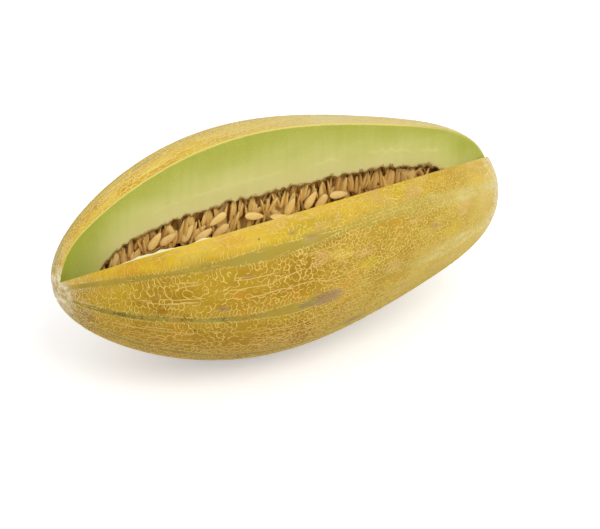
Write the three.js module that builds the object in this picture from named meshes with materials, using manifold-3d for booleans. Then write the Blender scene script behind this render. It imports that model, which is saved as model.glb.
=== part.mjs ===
// A netted muskmelon with one lengthwise slice cut out, lying on its side.
// Millimetres. +X runs along the melon from the stem scar to the blossom end, +Z is up,
// and the origin is on the ground under the middle of the melon's bounding box.
import * as THREE from 'three';
import { mergeVertices } from 'three/addons/utils/BufferGeometryUtils.js';
import Module from 'manifold-3d';

const wasm = await Module();
wasm.setup();

// ---------------------------------------------------------------- driving dimensions
const melonLength = 285;
const melonDiameter = 136;
const restDepth = 1.1; // how far the belly is pressed flat where the melon lies
const outlineTerms = [-0.175, -0.177, 0.279, 0.187]; // slim stem end, blunt blossom end

const cavityFrom = -115; // the seed cavity's two ends along X
const cavityTo = 121;
const cavityRadius = 26;
const cavityBluntness = 3; // 2 would be an ellipse; more keeps it wide towards its ends
const cavityRoundness = 0.55;

const cutRise = 8.5; // the cut's inner corner above the melon's axis, at mid length
const cutTilt = THREE.MathUtils.degToRad(2.5); // the corner climbs towards the blossom end
const cutSetback = 0.9; // the upright cut face stands this far behind the axis
const cutBendFrom = -126; // from here to the stem end the upright face bends to the front,
const cutBendRadius = 22; // round an upright arc of this radius
const cutLowerSlope = THREE.MathUtils.degToRad(32.7); // the lower cut face rises to the front

const fitGap = 0.4; // clearance between pieces that touch
const pulpFrontRecess = 1.6; // the pulp has sunk this far below the lower cut face
const pulpBackRecess = 3.4; // and this far behind the upright one

const seedLength = 12.2;
const seedWidth = 5;
const seedThickness = 1.9;
const seedTaper = 0.28; // how much the stalk end narrows

const melonStations = 32;
const melonSegments = 56;
const cavityStations = 20;
const cavitySegments = 32;
const bendSegments = 10;
const seedStations = 6;
const seedSegments = 8;

const melonRadius = melonDiameter / 2;
const axisHeight = melonRadius - restDepth;
const cavityMiddle = (cavityFrom + cavityTo) / 2;
const cavityHalfLength = (cavityTo - cavityFrom) / 2;

// ---------------------------------------------------------------- outlines
// Each outline gives a radius for a place u along the solid, from -1 to 1.
function melonOutline(u) {
  const [a, b, c, d] = outlineTerms;
  return Math.sqrt(1 - u * u) * (1 + a * u + b * u ** 2 + c * u ** 3 + d * u ** 4);
}

function cavityOutline(u) {
  return (1 - Math.abs(u) ** cavityBluntness) ** cavityRoundness;
}

function seedOutline(u) {
  return Math.sqrt(1 - u * u) * (1 - seedTaper * u);
}

// Points of a lathe profile whose ends are on the axis and whose widest place is radius.
function profile(outline, halfLength, radius, stations) {
  const places = Array.from({ length: stations + 1 }, (_, i) => -Math.cos((Math.PI * i) / stations));
  const widths = places.map((u, i) => (i === 0 || i === stations ? 0 : outline(u)));
  const widest = Math.max(...widths);
  return places.map((u, i) => new THREE.Vector2((radius * widths[i]) / widest, halfLength * u));
}

// A solid of revolution about X, centred on the origin.
function turned(outline, halfLength, radius, stations, segments) {
  const geometry = new THREE.LatheGeometry(profile(outline, halfLength, radius, stations), segments);
  return geometry.rotateZ(-Math.PI / 2);
}

// ---------------------------------------------------------------- three.js to manifold and back
function toSolid(geometry) {
  const bare = geometry.clone();
  bare.deleteAttribute('normal');
  bare.deleteAttribute('uv');
  const merged = mergeVertices(bare, 1e-4);
  return new wasm.Manifold(new wasm.Mesh({
    numProp: 3,
    vertProperties: new Float32Array(merged.attributes.position.array),
    triVerts: new Uint32Array(merged.index.array),
  }));
}

function toGeometry(solid) {
  const mesh = solid.getMesh();
  const geometry = new THREE.BufferGeometry();
  geometry.setAttribute('position', new THREE.BufferAttribute(mesh.vertProperties, 3));
  geometry.setIndex(new THREE.BufferAttribute(mesh.triVerts, 1));
  geometry.computeVertexNormals();
  return geometry;
}

function largestPiece(solid) {
  return solid.decompose().sort((a, b) => b.volume() - a.volume())[0];
}

// ---------------------------------------------------------------- the missing slice
// The corner where both cut faces meet, above the melon's axis, at a place x.
function cornerHeight(x) {
  return cutRise + x * Math.tan(cutTilt);
}

// The space on the front side of the bend in the upright face, moved back by this much.
function insideBend(back) {
  const reach = 2 * melonRadius;
  const radius = cutBendRadius + back;
  const outline = new THREE.Shape();
  outline.moveTo(2 * melonLength, -reach);
  outline.lineTo(2 * melonLength, radius);
  outline.lineTo(0, radius);
  outline.absarc(0, 0, radius, Math.PI / 2, Math.PI, false);
  outline.lineTo(-radius, -reach);
  const space = new THREE.ExtrudeGeometry(outline, {
    depth: 2 * reach, bevelEnabled: false, steps: 1, curveSegments: bendSegments,
  });
  return toSolid(space.translate(cutBendFrom, cutSetback - cutBendRadius, -reach));
}

// The space over the lower cut face and in front of the upright one. The first number
// lowers the one face and the second moves the other back.
function sliceSpace(lowered, back) {
  const reach = 2 * melonRadius;
  const corner = new THREE.Vector2(cutSetback + back, -lowered / Math.cos(cutLowerSlope));
  corner.y -= back * Math.tan(cutLowerSlope);
  const outline = new THREE.Shape([
    corner,
    new THREE.Vector2(corner.x, reach),
    new THREE.Vector2(corner.x - reach, reach),
    new THREE.Vector2(corner.x - reach, corner.y + reach * Math.tan(cutLowerSlope)),
  ]);
  const depth = 1.5 * melonLength;
  const space = new THREE.ExtrudeGeometry(outline, { depth, bevelEnabled: false, steps: 1 });
  space.translate(0, 0, -depth / 2);
  space.rotateX(Math.PI / 2).rotateZ(Math.PI / 2); // outline across Y and Z, depth along X
  return toSolid(space.rotateY(-cutTilt).translate(0, 0, cutRise)).intersect(insideBend(back));
}

// ---------------------------------------------------------------- melon
// What fills the seed cavity, with a gap left all round it.
function cavityFilling(gap) {
  const halfLength = cavityHalfLength - gap;
  const filling = turned(cavityOutline, halfLength, cavityRadius - gap, cavityStations, cavitySegments);
  return toSolid(filling.translate(cavityMiddle, 0, 0));
}

function makeMelon() {
  const whole = toSolid(turned(melonOutline, melonLength / 2, melonRadius, melonStations, melonSegments));
  const ground = new THREE.BoxGeometry(2 * melonLength, 2 * melonDiameter, melonRadius)
    .translate(0, 0, -axisHeight - melonRadius / 2);
  return whole.subtract(toSolid(ground)).subtract(sliceSpace(0, 0)).subtract(cavityFilling(0));
}

// ---------------------------------------------------------------- seeds
// A seed lies along X with its flat sides up and down and its stalk end towards +X.
function seedGeometry(growth) {
  const half = seedLength / 2 + growth;
  const seed = turned(seedOutline, half, seedWidth / 2 + growth, seedStations, seedSegments);
  return seed.scale(1, 1, (seedThickness / 2 + growth) / (seedWidth / 2 + growth));
}

// A repeatable stream of numbers from -1 to 1.
function jitterStream(seed) {
  let state = seed;
  return () => {
    state = (state * 1664525 + 1013904223) % 4294967296;
    return (2 * state) / 4294967296 - 1;
  };
}

// A seed's place: lean turns its stalk end up from +X, turn spins it about its own length
// so that 0 shows its flat side to the front, and yaw swings it to the back.
function seedPlace(x, y, z, lean, turn, yaw) {
  const toFront = new THREE.Matrix4().makeRotationX(THREE.MathUtils.degToRad(90 + turn));
  const upright = new THREE.Matrix4().makeRotationY(-THREE.MathUtils.degToRad(lean));
  const swing = new THREE.Matrix4().makeRotationZ(THREE.MathUtils.degToRad(yaw));
  return swing.multiply(upright).multiply(toFront).setPosition(x, y, z);
}

// Loose seeds that lie against the cut, chosen by hand: along X, in front of the upright
// face, above the cut's corner, and their lean, turn and yaw in degrees.
const looseSeeds = [
  { x: -80.6, front: 2.0, rise: 9.6, lean: 50, turn: -35, yaw: 0 },
  { x: -72.2, front: 2.0, rise: 8.6, lean: 22, turn: -28, yaw: 4 },
  { x: -50.0, front: 2.0, rise: 4.6, lean: 28, turn: -26, yaw: -4 },
  { x: -40.6, front: 1.9, rise: 12.0, lean: 24, turn: -22, yaw: 4 },
  { x: -39.2, front: 2.0, rise: 4.0, lean: 28, turn: -30, yaw: 3 },
  { x: -29.0, front: 2.0, rise: 7.6, lean: 72, turn: 58, yaw: 0 },
  { x: -17.3, front: 1.9, rise: 7.1, lean: -13, turn: -26, yaw: -3 },
  { x: -5.6, front: 1.9, rise: 10.4, lean: 54, turn: 50, yaw: 0 },
  { x: -2.4, front: 4.6, rise: 3.6, lean: -10, turn: -75, yaw: 0 },
  { x: 6.0, front: 1.9, rise: 6.2, lean: 62, turn: -24, yaw: -4 },
  { x: 19.6, front: 1.9, rise: 6.6, lean: 52, turn: -22, yaw: 3 },
  { x: 26.0, front: 2.1, rise: 3.2, lean: 48, turn: -30, yaw: 0 },
  { x: 38.0, front: 2.0, rise: 5.0, lean: -6, turn: -30, yaw: 0 },
];

const standingCount = 46;
const standingFrom = -108;
const standingTo = 113;
const standingDepth = 2.7; // a standing seed's middle behind the upright cut face
const standingHeadroom = 1.2; // from a seed's tip to the cavity's roof
const standingSway = { lean: 22, turn: 34, yaw: 10 }; // most degrees off upright and edge-on
const standingTries = 12;
const standingLeast = 3; // no seed stands where the cut shows less of the cavity than this

function cavityRadiusAt(x) {
  const u = (x - cavityMiddle) / cavityHalfLength;
  return Math.abs(u) >= 1 ? 0 : cavityRadius * cavityOutline(u);
}

function looseSeedPlaces() {
  return looseSeeds.map(({ x, front, rise, lean, turn, yaw }) => (
    seedPlace(x, cutSetback - front, cornerHeight(x) + rise, lean, turn, yaw)));
}

// One try at a seed standing in the upright face, with its narrow side to the front.
function standingSeedPlace(x, jitter) {
  const highest = cavityRadiusAt(x) - standingHeadroom - seedLength / 2;
  const lowest = Math.min(highest - 1, cornerHeight(x) + seedLength / 2);
  const height = THREE.MathUtils.mapLinear(jitter(), -1, 1, lowest, highest);
  const lean = 90 + standingSway.lean * jitter();
  const turn = 90 + standingSway.turn * jitter();
  return seedPlace(x, cutSetback + standingDepth, height, lean, turn, standingSway.yaw * jitter());
}

// Seeds are taken in turn, and one that would touch an earlier one, or the flesh round
// the cavity, is tried again in another pose.
function placeSeeds() {
  const solid = toSolid(seedGeometry(0));
  const grown = toSolid(seedGeometry(fitGap));
  const inside = cavityFilling(fitGap);
  const places = [];
  const taken = [];
  const isFree = (place) => {
    const candidate = grown.transform(place.elements);
    const outside = candidate.subtract(inside);
    return outside.isEmpty() && taken.every((other) => candidate.intersect(other).isEmpty());
  };
  const take = (place) => {
    places.push(place);
    taken.push(solid.transform(place.elements));
  };
  looseSeedPlaces().filter(isFree).forEach(take);
  const jitter = jitterStream(7);
  for (let i = 0; i < standingCount; i += 1) {
    const x = THREE.MathUtils.lerp(standingFrom, standingTo, i / (standingCount - 1));
    if (cavityRadiusAt(x) - cornerHeight(x) < standingLeast) continue;
    const tries = Array.from({ length: standingTries }, () => standingSeedPlace(x + jitter(), jitter));
    const free = tries.find(isFree);
    if (free) take(free);
  }
  return places.sort((a, b) => a.elements[12] - b.elements[12]);
}

// ---------------------------------------------------------------- pulp
function makePulp(seedPlaces) {
  let pulp = cavityFilling(fitGap).subtract(sliceSpace(pulpFrontRecess, pulpBackRecess));
  const socket = toSolid(seedGeometry(fitGap));
  for (const place of seedPlaces) pulp = pulp.subtract(socket.transform(place.elements));
  return largestPiece(pulp);
}

// ---------------------------------------------------------------- the part
const rindFinish = new THREE.MeshStandardMaterial({ color: 0xc79d42, roughness: 0.55, metalness: 0 });
const pulpFinish = new THREE.MeshStandardMaterial({ color: 0x8a5a24, roughness: 0.45, metalness: 0 });
const seedFinish = new THREE.MeshStandardMaterial({ color: 0xd3ad63, roughness: 0.5, metalness: 0 });

function named(name, geometry, material) {
  const mesh = new THREE.Mesh(geometry, material);
  mesh.name = name;
  return mesh;
}

const seedPlaces = placeSeeds();
const muskmelon = new THREE.Group();
muskmelon.position.z = axisHeight;
muskmelon.add(named('melon', toGeometry(makeMelon()), rindFinish));
muskmelon.add(named('seed_pulp', toGeometry(makePulp(seedPlaces)), pulpFinish));
seedPlaces.forEach((place, i) => {
  const seed = named(`seed_${String(i + 1).padStart(2, '0')}`, seedGeometry(0), seedFinish);
  seed.applyMatrix4(place);
  muskmelon.add(seed);
});

export default muskmelon;
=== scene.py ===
import math
import random
from functools import cached_property

import bmesh
import bpy
import numpy as np
from mathutils import Matrix, Vector
from mathutils.geometry import delaunay_2d_cdt


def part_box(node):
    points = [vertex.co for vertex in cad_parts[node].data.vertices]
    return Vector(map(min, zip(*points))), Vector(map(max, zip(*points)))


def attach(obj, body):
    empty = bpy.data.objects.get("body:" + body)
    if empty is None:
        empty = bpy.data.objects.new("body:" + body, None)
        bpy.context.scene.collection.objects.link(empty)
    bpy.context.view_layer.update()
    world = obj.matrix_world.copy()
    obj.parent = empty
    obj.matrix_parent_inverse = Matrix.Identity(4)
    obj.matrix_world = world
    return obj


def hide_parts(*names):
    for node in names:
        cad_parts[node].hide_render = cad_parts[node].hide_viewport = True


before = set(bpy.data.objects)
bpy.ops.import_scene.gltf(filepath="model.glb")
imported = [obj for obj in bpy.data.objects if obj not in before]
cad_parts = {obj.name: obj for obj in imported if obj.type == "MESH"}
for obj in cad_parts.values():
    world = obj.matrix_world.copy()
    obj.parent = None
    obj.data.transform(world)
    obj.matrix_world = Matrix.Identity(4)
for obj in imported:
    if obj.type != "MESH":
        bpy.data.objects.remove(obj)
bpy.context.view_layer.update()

# ------------------------------------------------------------------ sizes
# Shapes are worked out in millimetres from the melon's axis, which lies along X at mid
# height, and become metres above the ground only when a mesh is made.
MM = 0.001
MELON_LOW, MELON_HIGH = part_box("melon")
HALF_LENGTH = (MELON_HIGH[0] - MELON_LOW[0]) / 2 / MM
RADIUS = (MELON_HIGH[1] - MELON_LOW[1]) / 2 / MM
REST_DEPTH = 1.1      # how far its weight presses the belly flat
AXIS_HEIGHT = RADIUS - REST_DEPTH
OUTLINE_TERMS = (-0.175, -0.177, 0.279, 0.187)  # how it strays from an ellipse
WHOLE_TURN = 2 * math.pi
JOINED_WITHIN, EMPTY_BELOW = 2e-6, 1e-7  # metres: points made one, and edges dropped

CAVITY_FROM, CAVITY_TO = -115.0, 121.0
CAVITY_RADIUS = 26.0
CAVITY_BLUNTNESS = 3
CAVITY_ROUNDNESS = 0.55
CAVITY_MIDDLE = (CAVITY_FROM + CAVITY_TO) / 2
CAVITY_HALF = (CAVITY_TO - CAVITY_FROM) / 2

# The cut's two faces, one upright and one that rises from its foot to the front.
CUT_RISE = 8.5                # their corner's height over the axis at mid length
CUT_TILT = math.radians(2.5)  # and its slope, up to the blossom end
CUT_SETBACK = 0.9             # the upright face stands this far behind the axis
CUT_BEND_FROM = -126.0        # and bends to the front past here, at the stem end
CUT_BEND_RADIUS = 22.0
CUT_SLOPE = math.tan(math.radians(32.7)) / math.cos(CUT_TILT)

STRIPES = 10
FIRST_STRIPE = math.radians(153.3)
STRIPE_SHIFTS = (0, -4, -6, 3, -2, 4, -3, -8, -16, 1)  # degrees that each strays from even
STRIPE_DRIFTS = (0, 4, 2, -3, 2, -2, 3, 0, 2, -2)    # and as many more to the blossom end
FADED_STRIPE = 1                                    # past the middle of its length
STRIPE_HALF_WIDTHS = 2.8, 4.3                       # at the stem end and the blossom end

SKIN_DEPTH = 0.24     # the bare skin lies this far under the solid's surface
STRIPE_SINK = 0.1     # and this much further along the stripes
DIMPLE_SIZE, DIMPLE_DEPTH = 9.0, 0.07
SKIN_ROWS = 248
SKIN_STEP = 1.45
SHARP_ANGLE = math.radians(40)  # from here on an edge of the melon shows sharp
FLESH_ROWS = 26
CAVITY_ROWS = 40
RIM_ROWS = 3          # rows over which the hollow's torn rim runs out into its wall
STATION_GAP = 0.25    # the least room between two cross-sections
SKIN_FROM_CAVITY = 40.0  # what the skin's edge counts as, for the flesh's colours there
WALL_FROM_RIND = 20.0    # and the edge of the hollow's wall

BURRS = ((-99.0, 13.0, 1.9), (-72.0, 4.5, 1.2))  # along X, half length and height
BURR_RISE, BURR_FALL = (0.1, 0.5), (1.2, 3.4)    # from where to where inside the rind

# Each surface's rectangle of its piece's UV map: the corner and the size.
SKIN_MAP = (0.01, 0.27), (0.98, 0.72)
HOLLOW_MAP = (0.01, 0.01), (0.3, 0.24)
UPRIGHT_MAP = (0.32, 0.01), (0.67, 0.12)
LOWER_MAP = (0.32, 0.135), (0.67, 0.12)
PULP_BACK_MAP = (0.01, 0.5), (0.98, 0.48)
PULP_FACE_MAP = (0.01, 0.01), (0.98, 0.48)
NET_MAP = 0.01, 0.98  # the corner and the size, both ways

# The netting's cells, across a band between two stripes and along it, row by row from a
# stripe inwards on the stem half, and all over the blossom half.
COARSE_CELLS = ((5.2, 1.9), (4.2, 3.2), (3.0, 5.2), (2.5, 7.0), (2.4, 7.5))
FINE_CELL = (1.9, 2.5)
SPUR_CELLS = 0.55     # small cells, mostly torn, inside the big ones
FINE_BETWEEN = 80.0, 190.0
STRIPES_NETTED = 130.0, 200.0  # bare up to the first, and netted like the rest past it
NET_FROM, NET_TO = 10.0, 326.0
NET_MARGIN = 0.3      # from the cut's edge
WALL_WIDTHS = 0.6, 0.56  # at the stem end and the blossom end
WALL_POINTS = ((0.35, 1.3, 2), (1.3, 3.2, 3), (3.2, 11.0, 4))  # shortest, longest, points
NET_CREST, NET_UNEVEN = 0.08, 0.05  # how deep its crests lie under the solid's surface
NET_FOOT = 0.05       # and its feet under the skin
STRANDS = 7           # long ones in each band
STRAND_WIDTHS = 0.72, 0.17  # at the stem end, and how much less at the blossom end

# Scuffs on the rind: along X, degrees about the axis, half length, half width, strength.
SCUFFS = (
    (-6, 187, 13, 5, 1.0), (-52, 166, 4.5, 1.6, 0.7), (-23, 150, 3, 1.3, 0.9),
    (-12, 154, 5, 2, 0.8), (-66, 182, 5, 2.4, 0.6), (-132, 203, 3, 2.5, 0.8),
    (20, 215, 12, 5, 0.7), (74, 169, 5, 2.5, 0.6), (-30, 260, 16, 9, 0.8),
    (60, 300, 14, 8, 0.8), (-80, 20, 10, 5, 0.6), (30, 45, 12, 5, 0.6),
)

SEED_LENGTH, SEED_WIDTH, SEED_THICKNESS = 12.2, 5.0, 1.9
SEED_TAPER = 0.28
SEED_SHRINK = 0.985   # a detailed seed against its solid
SEED_BOW = 0.5        # four times the most that its ends bend, either way
INNER_SEED_BOW = 0.6

# Seeds tried, and the room between two kept ones: those that stand behind the upright cut
# face, and those that lie in the pulp under the lower one.
INNER_SEEDS, INNER_SEED_ROOM = 420, 3.3
FRONT_SEEDS, FRONT_SEED_ROOM = 170, 4.6
INNER_SEED_DEPTH = 1.5, 7.0   # behind the upright face
INNER_SEED_ENDS = 10, 8       # room left at the hollow's two ends
FRONT_SEED_ENDS = 16
INNER_SEED_FOOT, INNER_SEED_HEAD = 2, 4.6  # below the corner and under the roof
LEAST_HEADROOM = 3            # where the roof is lower over the corner, none stands
SEED_LEAN = 82, 24            # degrees from lying flat, and their spread
SEED_TURNS = 18, 50, 30       # degrees about its length: stem half, other half, spread
SEED_TURN_CHANGE = 10         # along X
SEED_YAW_SPREAD = 20
FRONT_SEED_REACH = 0.72       # share of the way to the hollow's front
FRONT_SEED_SINK = 1.2         # under the lower face
FRONT_SEED_MARGIN = 4         # from the hollow's wall
FRONT_SEED_TURNS = 6.28       # about a whole turn

RIM_SCALLOP = 2.0     # how far the hollow's rim waves out into the flesh
FIBRES = 760          # torn ones along the hollow's rim
LOOSE_FIBRES = 90     # longer ones among the seeds
FIBRE_SHARES = np.linspace(0, 1, 6)[:, None]  # of the way from its root to its tip
FIBRE_ROOT = 0.9      # how far behind the upright cut face the torn ones begin
FIBRE_BEND = 1.4, 1.8  # how far forward they bend at most, and how soon

PULP_GAP = 0.4
PULP_BACK = 5.5       # the pulp's hollow behind the upright cut face
PULP_FRONT = 1.6      # and under the lower one
PULP_COLUMNS = 260
PULP_ROWS = 20
PULP_ARC_ROWS = 28

# Places and sizes from here on are the scene's own, in metres.
CAMERA_PLACE = (-0.5809, -1.1344, 0.7801)
CAMERA_AZIMUTH, CAMERA_ELEVATION = -27.635, 30.0
CAMERA_LENS, CAMERA_SENSOR = 150, 36  # millimetres
WHITE = (1.0, 1.0, 1.0, 1.0)
FLOOR_GREY = (0.8, 0.8, 0.8, 1.0)
FLOOR_SIZE = 12.0
FLOOR_GLOW = 0.4
WORLD_LIGHT = 0.82
LAMPS = (             # name, place, aim, size and power
    ("key", (0.0, -0.9, 1.15), (0, 0, 0.06), 0.9, 6.6),
    ("fill", (1.05, -0.9, 0.4), (0.05, 0, 0.06), 0.9, 2.5),
)


# ------------------------------------------------------------------ the melon's shape
def outline(u):
    """The melon's radius at u along it, from -1 to 1, before it is scaled."""
    a, b, c, d = OUTLINE_TERMS
    return np.sqrt(np.maximum(0, 1 - u * u)) * (1 + a * u + b * u**2 + c * u**3 + d * u**4)


ANGLES = np.linspace(0, math.pi, 4001)
MERIDIAN_X = -HALF_LENGTH * np.cos(ANGLES)
MERIDIAN_R = outline(-np.cos(ANGLES))
MERIDIAN_R *= RADIUS / MERIDIAN_R.max()
MERIDIAN_S = np.concatenate([[0], np.cumsum(np.hypot(np.diff(MERIDIAN_X), np.diff(MERIDIAN_R)))])
MERIDIAN_LENGTH = MERIDIAN_S[-1]


def melon_radius(x):
    return np.interp(x, MERIDIAN_X, MERIDIAN_R)


def rind_distance(x):
    """How far along the rind from the stem end a place along X is, which s stands for."""
    return np.interp(x, MERIDIAN_X, MERIDIAN_S)


def place_along(s):
    return np.interp(s, MERIDIAN_S, MERIDIAN_X)


def radius_along(s):
    return np.interp(s, MERIDIAN_S, MERIDIAN_R)


def cavity_radius(x):
    u = np.clip((np.asarray(x, float) - CAVITY_MIDDLE) / CAVITY_HALF, -1, 1)
    return CAVITY_RADIUS * (1 - np.abs(u) ** CAVITY_BLUNTNESS) ** CAVITY_ROUNDNESS


def corner_of_cut(x):
    """Where the two cut faces meet at x, across the axis and above it."""
    past = np.clip(CUT_BEND_FROM - np.asarray(x, float), 0, CUT_BEND_RADIUS)
    y = CUT_SETBACK - CUT_BEND_RADIUS + np.sqrt(CUT_BEND_RADIUS**2 - past**2)
    z = CUT_RISE + np.asarray(x, float) * math.tan(CUT_TILT) + CUT_SLOPE * (CUT_SETBACK - y)
    return y, z


def edge_angles(radius, y, z):
    """The angles about the axis at which a circle of this radius meets the upright plane
    through the corner (y, z) and the lower plane that rises from it to the front, the
    second a turn less the gap further on. Both are at the corner where the circle
    doesn't reach it."""
    reach = y**2 + z**2
    inside = np.maximum(radius**2, reach)
    upright = np.arctan2(np.sqrt(inside - y**2), y)
    half = CUT_SLOPE * z - y
    square = 1 + CUT_SLOPE**2
    along = (np.sqrt(half**2 + square * (inside - reach)) - half) / square
    lower = np.arctan2(z + CUT_SLOPE * along, y - along) - WHOLE_TURN
    opened = radius**2 > reach
    corner = np.arctan2(z, y)
    return np.where(opened, upright, corner), np.where(opened, lower, corner - WHOLE_TURN)


def cut_angles(x, radius):
    """The angles of the two edges that the cut leaves on a circle of this radius at x."""
    return edge_angles(radius, *corner_of_cut(x))


def crossing(radius_at, low, high):
    """The place between low and high where the cut's corner comes out of a surface."""
    def above(x):
        y, z = corner_of_cut(x)
        return float(radius_at(x)) ** 2 - y**2 - z**2
    for _ in range(60):
        middle = (low + high) / 2
        if (above(low) > 0) == (above(middle) > 0):
            low = middle
        else:
            high = middle
    return (low + high) / 2


MELON_EXITS = (
    crossing(melon_radius, -HALF_LENGTH, 0), crossing(melon_radius, 0, HALF_LENGTH)
)
CAVITY_EXITS = (
    crossing(cavity_radius, CAVITY_FROM, CAVITY_MIDDLE),
    crossing(cavity_radius, CAVITY_MIDDLE, CAVITY_TO),
)


def ring(x, radius, angle):
    """Points at these angles about the axis."""
    x, radius, angle = np.broadcast_arrays(x, radius, angle)
    return np.stack([x, radius * np.cos(angle), radius * np.sin(angle)], axis=-1)


def rough(points, size, seed=0):
    """Smooth noise from -1 to 1 at each point, with lumps of this size in millimetres."""
    place = np.asarray(points, float) / size + 31.7 * seed
    cell = np.floor(place).astype(np.int64)
    part = place - cell
    ease = part * part * (3 - 2 * part)
    total = np.zeros(place.shape[:-1])
    for corner in np.ndindex(2, 2, 2):
        mixed = (cell + corner) @ np.array([73856093, 19349663, 83492791])
        mixed = (mixed ^ (mixed >> 13)) * 1274126177
        value = ((mixed ^ (mixed >> 16)) & 0xFFFF) / 32767.5 - 1
        total += value * np.prod(np.where(corner, ease, 1 - ease), axis=-1)
    return total


# ------------------------------------------------------------------ stripes
STRIPE_PITCH = WHOLE_TURN / STRIPES


def eased(value, low, high):
    """0 up to low, 1 from high on, and a smooth rise between."""
    part = np.clip((value - low) / (high - low), 0, 1)
    return part * part * (3 - 2 * part)


def stripe_angle(s, number):
    """The angle of a stripe's middle line at s along the rind."""
    number_on = number % STRIPES
    start = FIRST_STRIPE + number * STRIPE_PITCH + math.radians(STRIPE_SHIFTS[number_on])
    bend = 4 * np.sin(math.pi * s / 205) * (1 - eased(s, 200, 245))
    bend = bend + STRIPE_DRIFTS[number_on] * eased(s, 150, 240)
    return start + np.radians(bend + 3 * (np.maximum(0, s - 205) / 93) ** 2)


def stripe_half_width(s, number):
    narrow, broad = STRIPE_HALF_WIDTHS
    width = narrow + (broad - narrow) * eased(s, 90, 230)
    uneven = 1 + 0.22 * np.sin(s / 17 + 5 * number) + 0.1 * np.sin(s / 6.1 + 3 * number)
    faded = 0.7 * eased(s, 150, 175) * (1 - eased(s, 222, 245)) if number == FADED_STRIPE else 0
    narrowing = 0.35 + 0.15 * eased(s, 150, 240)
    narrowing = narrowing + (1 - narrowing) * radius_along(s) / RADIUS
    return width * (1 - faded) * uneven * narrowing


def from_stripes(s, angle):
    """How far outside the nearest stripe's edge a point of the rind is, negative on it."""
    nearest = np.full(np.broadcast(s, angle).shape, 1000.0)
    for number in range(STRIPES):
        turn = angle - stripe_angle(s, number)
        turn = np.abs((turn + math.pi) % WHOLE_TURN - math.pi)
        away = turn * radius_along(s) - stripe_half_width(s, number % STRIPES)
        nearest = np.minimum(nearest, away)
    return nearest


def scuff_amount(x, angle):
    """1 in the middle of a scuff, fading to 0 at its edge."""
    total = np.zeros(np.broadcast(x, angle).shape)
    for at, degrees, half_length, half_width, strength in SCUFFS:
        turn = (angle - math.radians(degrees) + math.pi) % WHOLE_TURN - math.pi
        square = ((x - at) / half_length) ** 2 + (turn * melon_radius(at) / half_width) ** 2
        total = np.maximum(total, strength * np.exp(-square))
    return total


# ------------------------------------------------------------------ meshes
class Patchwork:
    """Grids of points gathered into one mesh, each with its material and its own
    rectangle of the UV map."""

    def __init__(self):
        self.points, self.faces, self.uvs, self.slots = [], [], [], []
        self.values = {}
        self.count = 0

    def add(self, grid, slot, rectangle, **values):
        corner, size = rectangle
        rows, columns = grid.shape[:2]
        index = self.count + np.arange(rows * columns).reshape(rows, columns)
        quads = np.stack([index[:-1, :-1], index[1:, :-1], index[1:, 1:], index[:-1, 1:]], axis=-1)
        v, u = np.meshgrid(np.linspace(0, 1, rows), np.linspace(0, 1, columns), indexing="ij")
        uv = np.stack([corner[0] + size[0] * u, corner[1] + size[1] * v], axis=-1).reshape(-1, 2)
        self.points.append(grid.reshape(-1, 3))
        self.faces.append(quads.reshape(-1, 4))
        self.uvs.append(uv[(quads - self.count).reshape(-1)])
        self.slots.append(np.full(quads.size // 4, slot))
        for name in set(self.values) | set(values):
            earlier = self.values.setdefault(name, np.zeros(self.count))
            new = np.broadcast_to(values.get(name, 0.0), (rows, columns)).reshape(-1)
            self.values[name] = np.concatenate([earlier, new])
        self.count += rows * columns

    def make(self, name, materials):
        obj = make_object(
            name, np.concatenate(self.points), np.concatenate(self.faces), materials,
            np.concatenate(self.uvs), self.values, np.concatenate(self.slots),
        )
        work = bmesh.new()
        work.from_mesh(obj.data)
        bmesh.ops.remove_doubles(work, verts=work.verts, dist=JOINED_WITHIN)
        bmesh.ops.dissolve_degenerate(work, edges=work.edges, dist=EMPTY_BELOW)
        bmesh.ops.recalc_face_normals(work, faces=work.faces)
        work.to_mesh(obj.data)
        work.free()
        return obj


def make_object(name, points, faces, materials, uvs=None, values=None, slots=None):
    """A smooth-shaded mesh object from points in millimetres about the melon's axis."""
    mesh = bpy.data.meshes.new(name)
    placed = np.asarray(points, float) * MM + (0, 0, AXIS_HEIGHT * MM)
    mesh.from_pydata(placed, [], faces)
    for material in materials:
        mesh.materials.append(material)
    if slots is not None:
        mesh.polygons.foreach_set("material_index", slots.astype(np.int32))
    if uvs is not None:
        mesh.uv_layers.new(name="OFBake").data.foreach_set("uv", uvs.astype(np.float32).ravel())
    for key, numbers in (values or {}).items():
        layer = mesh.attributes.new(key, "FLOAT", "POINT")
        layer.data.foreach_set("value", np.asarray(numbers, np.float32))
    mesh.polygons.foreach_set("use_smooth", np.ones(len(mesh.polygons), bool))
    mesh.update()
    obj = bpy.data.objects.new(name, mesh)
    bpy.context.scene.collection.objects.link(obj)
    return obj


def make_joined(name, parts, material):
    """One object from many loose parts, each given as points, faces and values."""
    points, faces, values = zip(*parts)
    starts = np.cumsum([0, *map(len, points)])
    faces = [tuple(start + i for i in face) for start, own in zip(starts, faces) for face in own]
    values = {key: np.concatenate([own[key] for own in values]) for key in values[0]}
    return make_object(name, np.concatenate(points), faces, [material], values=values)


# ------------------------------------------------------------------ materials
def srgb(colour):
    """A colour given as it looks on screen, from 0 to 255, in the numbers Blender wants."""
    def linear(value):
        value /= 255
        return value / 12.92 if value <= 0.04045 else ((value + 0.055) / 1.055) ** 2.4
    return (*map(linear, colour), 1.0)


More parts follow.
